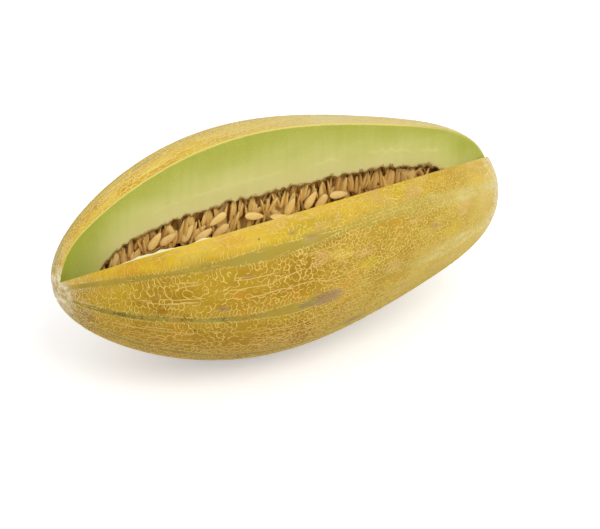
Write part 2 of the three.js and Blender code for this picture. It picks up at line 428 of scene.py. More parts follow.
class Nodes:
    """Adds nodes to a tree, one call a node. Inputs are sockets or plain values."""

    def __init__(self, tree):
        self.tree = tree

    def link(self, value, socket):
        if isinstance(value, bpy.types.NodeSocket):
            self.tree.links.new(value, socket)
        else:
            socket.default_value = value

    def node(self, kind, inputs, output=0, **settings):
        node = self.tree.nodes.new(kind)
        for key, value in settings.items():
            setattr(node, key, value)
        for key, value in inputs.items():
            self.link(value, node.inputs[key])
        return node.outputs[output]

    def math(self, operation, *values):
        return self.node("ShaderNodeMath", dict(enumerate(values)), operation=operation)

    def seen(self):
        """1 for what the camera sees, straight or mirrored, and 0 for light on the object."""
        path = self.tree.nodes.new("ShaderNodeLightPath")
        return self.math("MAXIMUM", path.outputs["Is Camera Ray"], path.outputs["Is Glossy Ray"])


class Finish(Nodes):
    """One material. Colours to blend are given as three numbers, as they look on screen,
    from 0 to 255."""

    def __init__(self, name):
        self.material = bpy.data.materials.new(name)
        self.material.use_nodes = True
        super().__init__(self.material.node_tree)
        self.shader = self.tree.nodes["Principled BSDF"]
        self.place = self.tree.nodes.new("ShaderNodeTexCoord").outputs["Object"]

    @cached_property
    def along(self):
        """The place along the melon, in metres."""
        return self.node("ShaderNodeSeparateXYZ", {0: self.place}, output="X")

    @cached_property
    def to_blossom(self):
        """0 on the stem half and 1 towards the blossom end."""
        return self.band(self.along, -0.03, 0.07)

    @cached_property
    def lift(self):
        """How high round the rind, from -1 at the belly to 1 on top."""
        return self.attribute("lift")

    def attribute(self, name):
        return self.node("ShaderNodeAttribute", {}, output="Fac", attribute_name=name)

    def times(self, a, b, plus=None):
        return self.math("MULTIPLY", a, b) if plus is None else self.math("MULTIPLY_ADD", a, b, plus)

    def away(self, value, middle):
        return self.math("ABSOLUTE", self.math("ADD", value, -middle))

    def noise(self, scale, detail=3.0, roughness=0.5, stretch=None):
        """Noise with this many lumps a metre, its scale along each axis times stretch."""
        place = self.place
        if stretch:
            place = self.node("ShaderNodeMapping", {"Vector": place, "Scale": stretch})
        inputs = {"Vector": place, "Scale": scale, "Detail": detail, "Roughness": roughness}
        return self.node("ShaderNodeTexNoise", inputs, output="Fac")

    def band(self, value, low, high, to_low=0.0, to_high=1.0):
        """Value carried smoothly from low..high to to_low..to_high, and held there."""
        inputs = {"Value": value, "From Min": low, "From Max": high,
                  "To Min": to_low, "To Max": to_high}
        return self.node("ShaderNodeMapRange", inputs, interpolation_type="SMOOTHSTEP")

    def blend(self, share, a, b):
        node = self.tree.nodes.new("ShaderNodeMix")
        node.data_type = "RGBA"
        self.link(share, node.inputs["Factor"])
        for value, number in ((a, 6), (b, 7)):
            self.link(srgb(value) if isinstance(value, tuple) else value, node.inputs[number])
        return node.outputs[2]

    def layers(self, colour, *over):
        """The colour with others laid over it in turn, each with its share."""
        for share, tone in over:
            colour = self.blend(share, colour, tone)
        return colour

    def ramp(self, value, *stops):
        """A colour that runs through the stops, each with its place and its colour."""
        node = self.tree.nodes.new("ShaderNodeValToRGB")
        elements = node.color_ramp.elements
        while len(elements) < len(stops):
            elements.new(1.0)
        for element, (position, colour) in zip(elements, stops):
            element.position = position
            element.color = srgb(colour)
        self.link(value, node.inputs[0])
        return node.outputs[0]

    def finish(self, colour, roughness, height=None, relief=0.3, reach=0.0005, **sockets):
        """Links what the shader shows, and sets its other sockets by name."""
        sockets = {"Base_Color": colour, "Roughness": roughness, **sockets}
        if height is not None:
            inputs = {"Height": height, "Strength": relief, "Distance": reach}
            sockets["Normal"] = self.node("ShaderNodeBump", inputs, output="Normal")
        for name, value in sockets.items():
            self.link(value, self.shader.inputs[name.replace("_", " ")])
        return self.material


def rind_ground(f, streaks):
    """The skin between the stripes: golden, yellower high round the rind, pinker and paler to the
    blossom end, with orange, olive, pink and fresh yellow patches. Painted shade darkens it
    away from the stem end and low on the stem half, a painted sheen pales it along the top,
    and painted light from the floor pales it low on the blossom half."""
    mixed = f.times(f.noise(26.0, 4.0), 0.55, f.times(streaks, 0.45))
    under = f.ramp(mixed, (0.34, (148, 108, 16)), (0.46, (170, 133, 22)),
                   (0.55, (182, 147, 28)), (0.66, (193, 158, 44)))
    # Painted shade: darker everywhere but at the stem end, to even out how brightly the lamps light the
    # rest.
    under = f.blend(f.band(f.along, -0.1, -0.05, 0.0, 0.5), under, (160, 120, 24))
    pinker = f.ramp(mixed, (0.34, (160, 124, 28)), (0.48, (179, 146, 42)), (0.64, (198, 170, 78)))
    upper = f.ramp(mixed, (0.34, (190, 148, 26)), (0.48, (209, 172, 34)), (0.64, (218, 186, 58)))
    painted_sheen_colours = f.ramp(streaks, (0.38, (206, 150, 26)), (0.5, (220, 180, 44)), (0.62, (230, 198, 78)))
    less = f.band(f.to_blossom, 0.0, 1.0, 1.0, 0.35)
    orange = f.times(f.band(f.noise(48.0, 2.0), 0.56, 0.68, 0.0, 0.42), less)
    olive = f.band(f.noise(38.0, stretch=(0.6, 1.1, 1.1)), 0.55, 0.7, 0.0, 0.5)
    pink = f.times(f.band(f.noise(85.0, 4.0, stretch=(0.5, 1, 1)), 0.56, 0.66, 0.0, 0.5),
                   f.band(f.along, -0.06, 0.0, 0.2, 1.0))
    fresh = f.times(f.band(f.noise(64.0, stretch=(0.5, 1, 1)), 0.57, 0.66, 0.0, 0.55),
                    f.band(f.along, -0.06, 0.0, 0.3, 1.0))
    # Painted shade: darker and richer low on the stem half, where the underside is out of the light.
    low = f.times(f.band(f.lift, -0.5, -0.15, 0.4, 0.0), f.band(f.along, -0.02, 0.04, 1.0, 0.0))
    return f.layers(
        under, (f.to_blossom, pinker), (f.times(f.band(f.lift, 0.38, 0.5), less), upper),
        (orange, (205, 138, 34)), (olive, (170, 150, 44)), (pink, (204, 164, 108)),
        (fresh, (196, 172, 26)), (low, (158, 110, 14)),
        (f.band(f.along, 0.07, 0.125, 0.0, 0.45), (216, 192, 104)),
        # Painted sheen: paler colours along the top, more so towards the blossom end.
        (f.times(painted_top_sheen(f), 0.7), painted_sheen_colours),
        (f.times(f.times(painted_top_sheen(f), f.band(f.along, -0.09, 0.0)), 0.6), (212, 190, 100)),
        (f.times(f.times(painted_top_sheen(f), f.band(f.along, -0.01, 0.03)), 0.7), (212, 200, 150)),
        # Painted light from the floor: paler low on the blossom half.
        (f.times(painted_floor_light(f), 0.35), (226, 200, 112)),
    )


# A painted sheen: the band along the top of the rind where paler colour stands in for light grazing it.
def painted_top_sheen(f):
    return f.band(f.lift, 0.86, 0.95)


def painted_floor_light(f):
    """1 low on the blossom half, where light thrown up from the floor is painted as paler colour."""
    return f.times(f.band(f.along, 0.04, 0.08), f.band(f.lift, -0.45, 0.15, 1.0, 0.0))


def rind_stripes(f, streaks, ground):
    """Grey-green stripes over the ground, ragged, dark and narrow-cored at the stem end
    and pale and soft at the blossom end, with a painted sheen along the top and painted
    light from the floor low on the blossom half."""
    from_stripe = f.attribute("from_stripe")
    ragged = f.times(f.noise(300.0, 4.0), 3.6, f.math("ADD", from_stripe, -1.8))
    soft = f.band(f.to_blossom, 0.0, 1.0, 0.6, 1.8)
    stripe = f.band(ragged, f.times(soft, -1.0), soft, 1.0, 0.0)
    green = f.ramp(streaks, (0.35, (116, 102, 38)), (0.5, (138, 126, 52)), (0.65, (156, 144, 68)))
    off_dark = f.away(f.lift, -0.12)
    green = f.layers(
        green, (f.band(off_dark, 0.16, 0.4, 0.0, 0.8), (168, 148, 60)),
        (f.band(f.along, -0.09, -0.03), (160, 146, 66)), (f.to_blossom, (172, 162, 78)),
        (f.band(f.along, 0.06, 0.1, 0.0, 0.85), (210, 202, 138)),
        # Painted sheen along the top, and painted light from the floor low on the blossom half.
        (f.times(painted_top_sheen(f), 0.8), (206, 188, 110)), (painted_floor_light(f), (232, 224, 164)),
    )
    streaked = f.band(f.noise(170.0, 4.0, stretch=(0.3, 1, 1)), 0.3, 0.62, 0.88, 0.45)
    core = f.times(f.band(from_stripe, -1.8, -0.6, 1.0, 0.0), f.band(f.noise(520.0, 2.0), 0.52, 0.62))
    core = f.times(core, f.band(f.along, -0.09, -0.02, 0.75, 0.0))
    core = f.times(core, f.band(off_dark, 0.16, 0.4, 1.0, 0.2))
    return f.layers(ground, (f.times(stripe, streaked), green), (core, (78, 66, 34)))


def rind_marks(f, streaks, colour):
    """Brownish scuffs and dark specks."""
    broken = f.noise(260.0, 5.0, roughness=0.65, stretch=(0.5, 1, 1))
    scuff = f.times(broken, 2.2, f.math("ADD", f.attribute("scuff"), -1.35))
    brown = f.ramp(streaks, (0.38, (142, 110, 74)), (0.55, (168, 137, 98)), (0.68, (190, 168, 130)))
    inputs = {"Vector": f.place, "Scale": 75.0}
    spots = f.node("ShaderNodeTexVoronoi", inputs, output="Distance", feature="F1")
    speck = f.times(f.band(spots, 0.03, 0.07, 1.0, 0.0), f.band(f.noise(40.0), 0.54, 0.6))
    return f.layers(colour, (f.band(scuff, 0.0, 0.5, 0.0, 0.85), brown), (speck, (84, 66, 34)))


def rind_ends(f, cork, colour):
    """Pale ragged cork round both ends, and a small brown scar at each."""
    stem_end = f.times(f.band(f.along, -0.1425, -0.134, 1.0, 0.0), f.band(f.lift, 0.1, 0.6, 1.0, 0.7))
    ends = f.math("MAXIMUM", stem_end, f.band(f.along, 0.116, 0.146, 0.0, 0.9))
    edge = f.times(f.noise(130.0, 5.0), 2.0, f.times(cork, 0.5))
    ends = f.times(f.band(ends, 0.0, 0.12), f.band(f.math("ADD", ends, edge), 1.5, 2.0))
    ends = f.times(ends, f.band(f.along, -0.1, 0.1, 1.0, 0.55))
    pale = f.ramp(cork, (0.36, (190, 166, 112)), (0.5, (232, 216, 166)), (0.64, (246, 237, 208)))
    scar = f.band(f.times(edge, 0.0012, f.math("ABSOLUTE", f.along)), 0.1431, 0.144, 0.0, 0.7)
    brown = f.ramp(cork, (0.4, (160, 130, 84)), (0.6, (200, 176, 130)))
    return f.layers(colour, (f.times(ends, 0.9), pale), (scar, brown))


def rind_finish():
    f = Finish("rind")
    streaks = f.noise(120.0, 5.0, stretch=(0.3, 1, 1))
    cork = f.noise(330.0, 5.0)
    colour = rind_stripes(f, streaks, rind_ground(f, streaks))
    colour = rind_ends(f, cork, rind_marks(f, streaks, colour))
    height = f.times(f.noise(700.0), 0.5, f.times(streaks, 0.6))
    gloss = f.band(cork, 0.3, 0.7, 0.42, 0.56)
    return f.finish(colour, gloss, height, 0.3, 0.0003, Specular_IOR_Level=0.16)


def net_finish():
    """Thin corky netting, creamy to pinkish tan and paler at both ends, with a painted sheen that pales
    it along the top.
    """
    f = Finish("netting")
    grain = f.noise(420.0)
    stem = f.blend(grain, (206, 174, 70), (238, 212, 122))
    blossom = f.blend(grain, (204, 176, 74), (230, 208, 116))
    pink = f.blend(grain, (200, 162, 80), (226, 192, 122))
    # Painted sheen: paler netting along the top.
    top = f.blend(grain, (238, 206, 104), (254, 232, 160))
    top = f.blend(f.band(f.along, -0.09, 0.0), top, (226, 204, 134))
    ends = f.times(f.band(f.away(f.along, -0.006), 0.118, 0.135), 0.8)
    colour = f.layers(
        stem, (f.to_blossom, blossom), (f.attribute("tint"), pink), (f.band(f.lift, 0.84, 0.93), top),
        (f.band(f.attribute("scuff"), 0.2, 0.7, 0.0, 0.75), (168, 137, 98)), (ends, (232, 218, 176)),
    )
    return f.finish(colour, 0.66, grain, 0.3, 0.0002, Specular_IOR_Level=0.16)


def flesh_finish():
    """Moist flesh, green under the rind and pale by the seeds, with a cream line at the
    rind, a brown stain at the cavity's rim and a pale arc between them."""
    f = Finish("flesh")
    from_rind, from_cavity = f.attribute("from_rind"), f.attribute("from_cavity")
    total = f.math("ADD", f.math("ADD", from_rind, from_cavity), 0.01)
    cloud = f.noise(70.0, 4.0, stretch=(0.45, 1, 1))
    streak = f.noise(190.0, 4.0, stretch=(1, 1, 0.16))
    drift = f.times(cloud, 0.5, f.times(streak, 0.26, -0.36))
    colour = f.ramp(f.math("ADD", f.math("DIVIDE", from_rind, total), drift),
                    (0.0, (170, 173, 68)), (0.2, (187, 188, 91)), (0.46, (204, 203, 122)),
                    (0.74, (218, 213, 140)), (1.0, (228, 220, 158)))
    far = f.times(f.band(from_cavity, 12.0, 34.0), 0.4)
    stem_end = f.band(f.along, -0.128, -0.096, 0.65, 0.0)
    arc = f.times(f.noise(30.0, 2.0), 4.0, f.math("ADD", from_cavity, -13.0))
    arc = f.times(f.band(f.math("ABSOLUTE", arc), 0.0, 1.8, 1.0, 0.0), f.band(cloud, 0.36, 0.5))
    arc = f.times(arc, f.band(f.along, -0.09, -0.06, 0.0, 0.34))
    fleck = f.band(f.noise(900.0, 2.0), 0.5, 0.75, 0.0, 0.16)
    stain = f.band(f.times(f.noise(500.0), -3.4, from_cavity), -2.1, 0.3, 1.0, 0.0)
    stain = f.times(stain, f.band(f.noise(150.0, 2.0), 0.4, 0.6, 0.25, 0.85))
    rim = f.band(f.times(f.noise(300.0), 0.8, from_rind), 1.2, 2.0, 1.0, 0.0)
    rim = f.times(rim, f.band(f.along, 0.07, 0.12, 0.9, 0.3))
    colour = f.layers(
        colour, (far, (168, 173, 62)), (stem_end, (160, 165, 54)), (arc, (234, 228, 164)),
        (fleck, (226, 222, 150)), (stain, (168, 128, 62)), (rim, (236, 216, 124)),
        (f.band(f.attribute("burr"), 0.1, 0.6), (228, 226, 176)),
    )
    height = f.math("ADD", streak, f.times(cloud, 0.4))
    return f.finish(colour, 0.34, height, 0.12, 0.0004, Subsurface_Weight=0.12,
                    Subsurface_Scale=0.004, Subsurface_Radius=(1.0, 0.8, 0.3))


def pulp_finish():
    """Wet brown fibre."""
    f = Finish("pulp")
    strands = f.noise(420.0, 4.0, stretch=(1, 0.4, 0.25))
    colour = f.ramp(f.times(strands, 0.6, f.times(f.noise(120.0), 0.4)),
                    (0.30, (92, 58, 20)), (0.46, (148, 102, 42)),
                    (0.58, (204, 156, 78)), (0.72, (230, 192, 120)))
    return f.finish(colour, 0.3, strands, 0.6, 0.0008)


def fibre_finish():
    """Torn fibre, brown at the rim and paler among the seeds."""
    f = Finish("fibre")
    grain = f.noise(600.0)
    dark = f.blend(grain, (138, 102, 44), (196, 158, 88))
    light = f.blend(grain, (196, 156, 88), (228, 198, 136))
    return f.finish(f.blend(f.attribute("tone"), dark, light), 0.45, grain, 0.3, 0.0002)


def seed_finish(name, pale, tan, brown):
    """Smooth seed coat, paler or browner from seed to seed, with painted light that pales the seeds
    mid-way along the melon, where they lie in shade.
    """
    f = Finish(name)
    colour = f.layers(
        pale, (f.band(f.noise(210.0), 0.3, 0.7), tan), (f.times(f.attribute("tone"), 0.75), brown),
        (f.times(f.attribute("rim"), 0.45), brown),
        # Painted light: paler seeds mid-way along the melon, where they lie in shade.
        (f.band(f.away(f.along, -0.012), 0.018, 0.05, 0.5, 0.0), (255, 224, 140)),
    )
    return f.finish(colour, 0.36, f.noise(900.0), 0.12, 0.0002)


RIND = rind_finish()
NETTING = net_finish()
FLESH = flesh_finish()
PULP = pulp_finish()
FIBRE = fibre_finish()
SEED = seed_finish("seed_coat", (244, 212, 134), (230, 190, 108), (192, 142, 70))
# Painted light: the seeds deep in the hollow get a paler copy of the seed coat, to make up for the
# shade there.
INNER_SEED = seed_finish("inner_seed_coat_painted_light", (252, 224, 150), (242, 204, 122), (192, 144, 74))


# ------------------------------------------------------------------ melon
def stations():
    """Places along X for the melon's cross-sections, even along the rind, with one at
    each place where an edge begins or ends."""
    even = np.linspace(0, MERIDIAN_LENGTH, int(MERIDIAN_LENGTH / SKIN_STEP) + 1)
    places = place_along(even)
    marks = np.array([*MELON_EXITS, *CAVITY_EXITS, CAVITY_FROM, CAVITY_TO])
    clear = [x for x in places[1:-1] if np.abs(marks - x).min() > STATION_GAP]
    return np.array(sorted([places[0], *clear, *marks, places[-1]]))


def skin_points(x, angle, sunk):
    """Points of the rind, sunk below the solid's surface and flat where it rests."""
    radius = melon_radius(x)
    s = rind_distance(x)
    lean = np.interp(s, MERIDIAN_S, np.gradient(MERIDIAN_R, MERIDIAN_S))
    across = np.interp(s, MERIDIAN_S, np.gradient(MERIDIAN_X, MERIDIAN_S))
    points = ring(x + lean * sunk, np.maximum(0, radius - across * sunk), angle)
    points[..., 2] = np.maximum(points[..., 2], sunk * 0.5 - AXIS_HEIGHT)
    return points


def skin_depth(x, angle):
    """How deep the bare skin lies, deeper along the stripes and in slight dimples."""
    x, angle = np.broadcast_arrays(x, angle)
    s = rind_distance(x)
    dimples = 1 + rough(ring(x, melon_radius(x), angle), DIMPLE_SIZE)
    on_stripe = 1 - eased(from_stripes(s, angle), -1.5, 1.5)
    return SKIN_DEPTH + STRIPE_SINK * on_stripe + DIMPLE_DEPTH * dimples


def between(low, high, shares):
    """Rows of points from one line of points to another."""
    return low[None] + (high - low)[None] * shares[:, None, None]


def burr_height(x):
    """How far the knife has pulled the flesh up along the lower cut's rim."""
    total = sum(height * np.exp(-(((x - at) / half) ** 4)) for at, half, height in BURRS)
    return total * (0.8 + 0.2 * np.sin(x / 1.7) + 0.12 * np.sin(x / 0.9))


def scallop(x):
    """How far the torn rim of the hollow strays outwards, in arcs as wide as a seed."""
    x = np.asarray(x, float)
    arcs = np.abs(np.sin(x / 2.3 + 0.9 * np.sin(x / 8.7) + 0.5 * np.sin(x / 3.9)))
    uneven = 0.75 + 0.35 * np.sin(x / 5.3 + 1.0)
    return RIM_SCALLOP * arcs * uneven * np.clip(cavity_radius(x) / 12, 0, 1)


def hollow_wall(x):
    """The hollow's wall at these places, from one torn rim round to the other."""
    first, last = cut_angles(x, cavity_radius(x) + scallop(x))
    shares = np.linspace(0, 1, CAVITY_ROWS + 1)[:, None]
    near_rim = np.maximum(0, 1 - np.minimum(shares, 1 - shares) * CAVITY_ROWS / RIM_ROWS)
    radius = cavity_radius(x) + near_rim * scallop(x)
    return ring(x[None], radius, first + (last - first) * shares)


def cut_face(x, inner, outer, burred):
    """One cut face at these places, from its inner edge to its outer one, with how far
    each point is from the rind and the hollow, and how high the burr is there."""
    rows = (1 - np.cos(math.pi * np.linspace(0, 1, FLESH_ROWS + 1))) / 2
    face = between(inner, outer, rows)
    away = np.hypot(face[..., 1], face[..., 2])
    past_end = np.maximum(0, np.abs(x - CAVITY_MIDDLE) - CAVITY_HALF)[None]
    from_cavity = np.hypot(np.maximum(0, away - cavity_radius(x) - scallop(x)), past_end)
    from_rind = np.maximum(0, melon_radius(x) - SKIN_DEPTH - away)
    burr = np.zeros_like(away)
    if burred:
        near = eased(from_rind, *BURR_RISE) * (1 - eased(from_rind, *BURR_FALL))
        burr = near * burr_height(x)[None]
        burr[-1] = 0
        face[..., 2] += burr
    return face, {"from_rind": from_rind, "from_cavity": from_cavity, "burr": burr}


def make_melon():
    """The rind, the hollow and the two cut faces, as one piece. The skin and the hollow
    both run from the upright face, their first row, to the lower one, their last."""
    x = stations()
    upright, lower = cut_angles(x, melon_radius(x))
    shares = np.linspace(0, 1, SKIN_ROWS + 1)
    angles = upright[None] + (lower - upright)[None] * shares[:, None]
    skin = skin_points(x[None], angles, skin_depth(x[None], angles))
    values = {
        "from_stripe": from_stripes(rind_distance(x)[None], angles),
        "scuff": scuff_amount(x[None], angles), "lift": np.sin(angles),
    }
    hollowed = x[(x >= CAVITY_FROM) & (x <= CAVITY_TO)]
    wall = hollow_wall(hollowed)
    work = Patchwork()
    work.add(skin, 0, SKIN_MAP, from_cavity=SKIN_FROM_CAVITY, **values)
    work.add(wall, 1, HOLLOW_MAP, from_rind=WALL_FROM_RIND, from_cavity=0.0)

    cut = (x >= MELON_EXITS[0]) & (x <= MELON_EXITS[1])
    corner = np.stack([x[cut], *corner_of_cut(x[cut])], axis=-1)
    first, last = CAVITY_EXITS
    for row, rectangle in ((0, UPRIGHT_MAP), (-1, LOWER_MAP)):
        edge = corner.copy()
        edge[(x[cut] >= first) & (x[cut] <= last)] = wall[row][(hollowed >= first) & (hollowed <= last)]
        face, depths = cut_face(x[cut], edge, skin[row][cut], row == -1)
        rim_values = {name: value[row][cut] for name, value in values.items()}
        work.add(face, 1, rectangle, **depths, **rim_values)
    melon = work.make("melon_body", [RIND, FLESH])
    melon.data.set_sharp_from_angle(angle=SHARP_ANGLE)
    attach(melon, "root")
    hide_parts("melon")


make_melon()


# ------------------------------------------------------------------ netting
def cut_away(s, angle):
    """How far a point of the rind is inside the part that the cut took, less a margin."""
    x = place_along(s)
    radius = melon_radius(x)
    upright, lower = cut_angles(x, radius)
    start = math.radians(60)
    turn = (angle - start) % WHOLE_TURN + start
    return np.minimum(turn - upright, lower + WHOLE_TURN - turn) * radius + NET_MARGIN


def stretches(keep):
    """The first index, and the one past the last, of each stretch of True."""
    ends = np.diff(np.concatenate([[0], keep.astype(int), [0]]))
    return np.flatnonzero(ends).reshape(-1, 2)


class Net:
    """Ridges laid on the rind and gathered into one mesh. Each line of points becomes a
    low roof: its crest just under the solid's surface and its two feet under the skin."""

    def __init__(self):
        self.s, self.angle, self.foot, self.tint, self.faces = [], [], [], [], []
        self.count = 0

    def lay(self, s, angle, width, tint):
        """Lays a line of points, or a table with a line to a row, outside the cut."""
        table = np.stack(np.broadcast_arrays(*np.atleast_2d(s, angle, width, tint)))
        if not table.size:
            return
        depth = cut_away(table[0], table[1])
        whole = depth.max(axis=1) < 0
        self.ridges(*table[:, whole])
        for line in np.flatnonzero(~whole):
            part, inside = table[:, line], depth[line]
            for first, last in stretches(inside < 0):
                run = part[:, first:last]
                if first > 0:
                    run = np.column_stack([meet(part, inside, first, first - 1), run])
                if last < part.shape[1]:
                    run = np.column_stack([run, meet(part, inside, last - 1, last)])
                self.ridges(*run[:, None])

    def ridges(self, s, angle, width, tint):
        lines, length = s.shape
        if lines == 0 or length < 2:
            return
        radius = radius_along(s)
        along = np.gradient(s, axis=1)
        across = np.gradient(angle, axis=1) * radius
        aside = width / 2 / np.maximum(np.hypot(along, across), 1e-6)
        for side in (-1, 0, 1):
            self.s.append((s - side * across * aside).ravel())
            self.angle.append((angle + side * along * aside / radius).ravel())
            self.foot.append(np.full(s.size, abs(side)))
            self.tint.append(tint.ravel())
        index = self.count + np.arange(s.size).reshape(lines, length)
        for left, right in ((0, 1), (1, 2)):
            low, high = index + left * s.size, index + right * s.size
            quads = np.stack([low[:, :-1], high[:, :-1], high[:, 1:], low[:, 1:]], axis=-1)
            self.faces.append(quads.reshape(-1, 4))
        self.count += 3 * s.size

    def make(self, name):
        s = np.clip(np.concatenate(self.s), 0.5, MERIDIAN_LENGTH - 0.5)
        angle, foot = np.concatenate(self.angle), np.concatenate(self.foot)
        x = place_along(s)
        crest = NET_CREST + NET_UNEVEN * rough(ring(x, melon_radius(x), angle), 2.5, 4)
        depth = np.where(foot > 0, skin_depth(x, angle) + NET_FOOT, crest)
        faces = np.concatenate(self.faces)
        turn = (angle - angle.min()) / (angle.max() - angle.min())
        corner, size = NET_MAP
        uv = np.stack([corner + size * s / MERIDIAN_LENGTH, corner + size * turn], axis=-1)
        values = {"tint": np.concatenate(self.tint), "scuff": scuff_amount(x, angle),
                  "lift": np.sin(angle)}
        net = make_object(name, skin_points(x, angle, depth), faces, [NETTING],
                          uv[faces.reshape(-1)], values)
        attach(net, "root")


def meet(part, inside, kept, lost):
    """Where a line between a kept point and a lost one meets the cut's edge."""
    share = inside[kept] / (inside[kept] - inside[lost])
    return part[:, kept] + (part[:, lost] - part[:, kept]) * share


def wander(s, size, line):
    """A line's own smooth sway along the rind, from -1 to 1."""
    places = np.stack([s, np.full_like(s, 7.3 * line * size), np.zeros_like(s)], axis=-1)
    return rough(places, size, 2)


def band_edges(band, s):
    """The angles between which a band is netted: from stripe to stripe on the stem half,
    and onto the stripes towards the blossom end."""
    bare = (1 - eased(s, *STRIPES_NETTED)) / radius_along(s)
    low = stripe_angle(s, band) + stripe_half_width(s, band) * bare
    high = stripe_angle(s, band + 1) - stripe_half_width(s, (band + 1) % STRIPES) * bare
    return low, high


def half_band(band, s):
    low, high = band_edges(band, s)
    return (high - low) / 2 * radius_along(s)


def place_in_band(band, s, across):
    """The angle of a point this many millimetres from a band's middle line."""
    low, high = band_edges(band, s)
    return (low + high) / 2 + across / radius_along(s)


def cell_size(row, s, scale):
    """A cell's size across and along its band, in a row counted from a stripe."""
    tall, long = COARSE_CELLS[min(row, len(COARSE_CELLS) - 1)]
    fine = eased(s, *FINE_BETWEEN)
    small = scale * (0.5 + 0.5 * eased(s, 8, 70))
    return ((tall + (FINE_CELL[0] - tall) * fine) * small,
            (long + (FINE_CELL[1] - long) * fine) * small)


def cell_middles(rng, band, scale):
    """Scattered middles of the netting's cells in a band: their places along the rind and
    across from the band's middle, and 1 for those that only close the net at its edges."""
    grid = np.arange(NET_FROM, NET_TO, 0.5)
    half = half_band(band, grid)
    parts = []
    for side in (-1, 1):
        below = np.zeros_like(grid)
        for row in range(int(14 / scale)):
            tall, long = cell_size(row, grid, scale)
            count = np.concatenate([[0], np.cumsum(0.5 / long[:-1])])
            marks = np.arange(0.5, count[-1], 1.0)
            marks = marks + (0.3 if row == 0 else 0.46) * rng.uniform(-1, 1, len(marks))
            s = np.interp(marks, count, grid)
            room = np.interp(s, grid, half)
            height = np.interp(s, grid, tall)
            place = 0.5 + (0.14 if row == 0 else 0.3) * rng.uniform(-1, 1, len(s))
            depth = np.interp(s, grid, below) + height * place
            kept = depth < room - 0.3 * height
            edge = np.zeros(len(s))
            parts.append(np.stack([s, side * (room - depth), edge])[:, kept])
            if row == 0:
                parts.append(np.stack([s, side * (room + depth), edge + 1]))
            below = below + tall
    return np.concatenate(parts, axis=1)


def cell_walls(s, across, outer):
    """The two ends of each wall between cells round these middles, as (s, across), and how
    many of the two cells beside it only close the net."""
    spots = [Vector(spot) for spot in zip(s, across)]
    points, _, triangles, origins, _, _ = delaunay_2d_cdt(spots, [], [], 0, 1e-6)
    closing = np.array([outer[origin[0]] > 0 for origin in origins])
    triangles = np.array(triangles)
    ends = np.array([tuple(point) for point in points])[triangles].mean(axis=1)
    sides = np.concatenate([triangles[:, [0, 1]], triangles[:, [1, 2]], triangles[:, [2, 0]]])
    sides.sort(axis=1)
    owner = np.tile(np.arange(len(triangles)), 3)
    order = np.lexsort(sides.T)
    sides, owner = sides[order], owner[order]
    shared = np.flatnonzero((sides[1:] == sides[:-1]).all(axis=1))
    walls = np.stack([owner[shared], owner[shared + 1]], axis=-1)
    outside = closing[sides[shared]].sum(axis=1)
    total, count = np.zeros_like(ends), np.zeros(len(ends))
    for near, far in (walls.T, walls.T[::-1]):
        np.add.at(total, near, ends[far])
        np.add.at(count, near, 1)
    joined = count > 1
    ends[joined] += 0.2 * (total[joined] / count[joined, None] - ends[joined])
    return ends[walls], outside


def thickness(s, angle):
    """How stout the netting is here, about 1."""
    points = ring(place_along(s), radius_along(s), angle)
    uneven = 1 + 0.3 * rough(points, 14.0, 5) + 0.2 * rough(points, 3.0, 6)
    return uneven * (0.55 + 0.45 * radius_along(s) / RADIUS)


def lay_cells(net, band, scale, torn, stout):
    """Nets a band with crooked walls between irregular cells. Scale is the cells' size,
    torn the share of walls missing, and stout the walls' width, against the usual."""
    rng = np.random.default_rng(100 + band)
    walls, outside = cell_walls(*cell_middles(rng, band, scale))
    long = np.hypot(*(walls[:, 1] - walls[:, 0]).T)
    middle = walls.mean(axis=1)
    points = ring(place_along(middle[:, 0]), RADIUS, middle[:, 1] / 50)
    missing = torn + 0.6 * np.maximum(0, rough(points, 17.0, 3) - 0.05)
    plain = eased(middle[:, 0], *STRIPES_NETTED)
    at_edge = missing + (1 - plain) * (0.05 - 0.5 * missing)
    missing = np.choose(outside, [missing, at_edge, 0.97])
    kept = (rng.random(len(walls)) > missing) & (long > 0.35) & (long < 11)
    walls, outside = walls[kept], outside[kept]
    bend, uneven, tint = rng.random((3, len(walls), 1))
    long = np.hypot(*(walls[:, 1] - walls[:, 0]).T)
    for shortest, longest, points in WALL_POINTS:
        some = (long >= shortest) & (long < longest)
        share = np.linspace(0, 1, points)
        start, reach = walls[some, 0], walls[some, 1] - walls[some, 0]
        line = start[:, None] + reach[:, None] * share[:, None]
        bow = (0.26 * bend[some] - 0.13) * np.sin(math.pi * share)
        s = line[..., 0] - reach[:, 1:] * bow
        angle = place_in_band(band, s, line[..., 1] + reach[:, :1] * bow)
        coarse, fine = WALL_WIDTHS
        width = stout * (coarse + (fine - coarse) * eased(s, *FINE_BETWEEN))
        width = width * thickness(s, angle) * (0.45 + 0.9 * uneven[some] ** 1.4)
        width = width * np.where(outside[some] == 2, 0.75, 1.0)[:, None]
        net.lay(s, angle, width, 0.3 * tint[some])


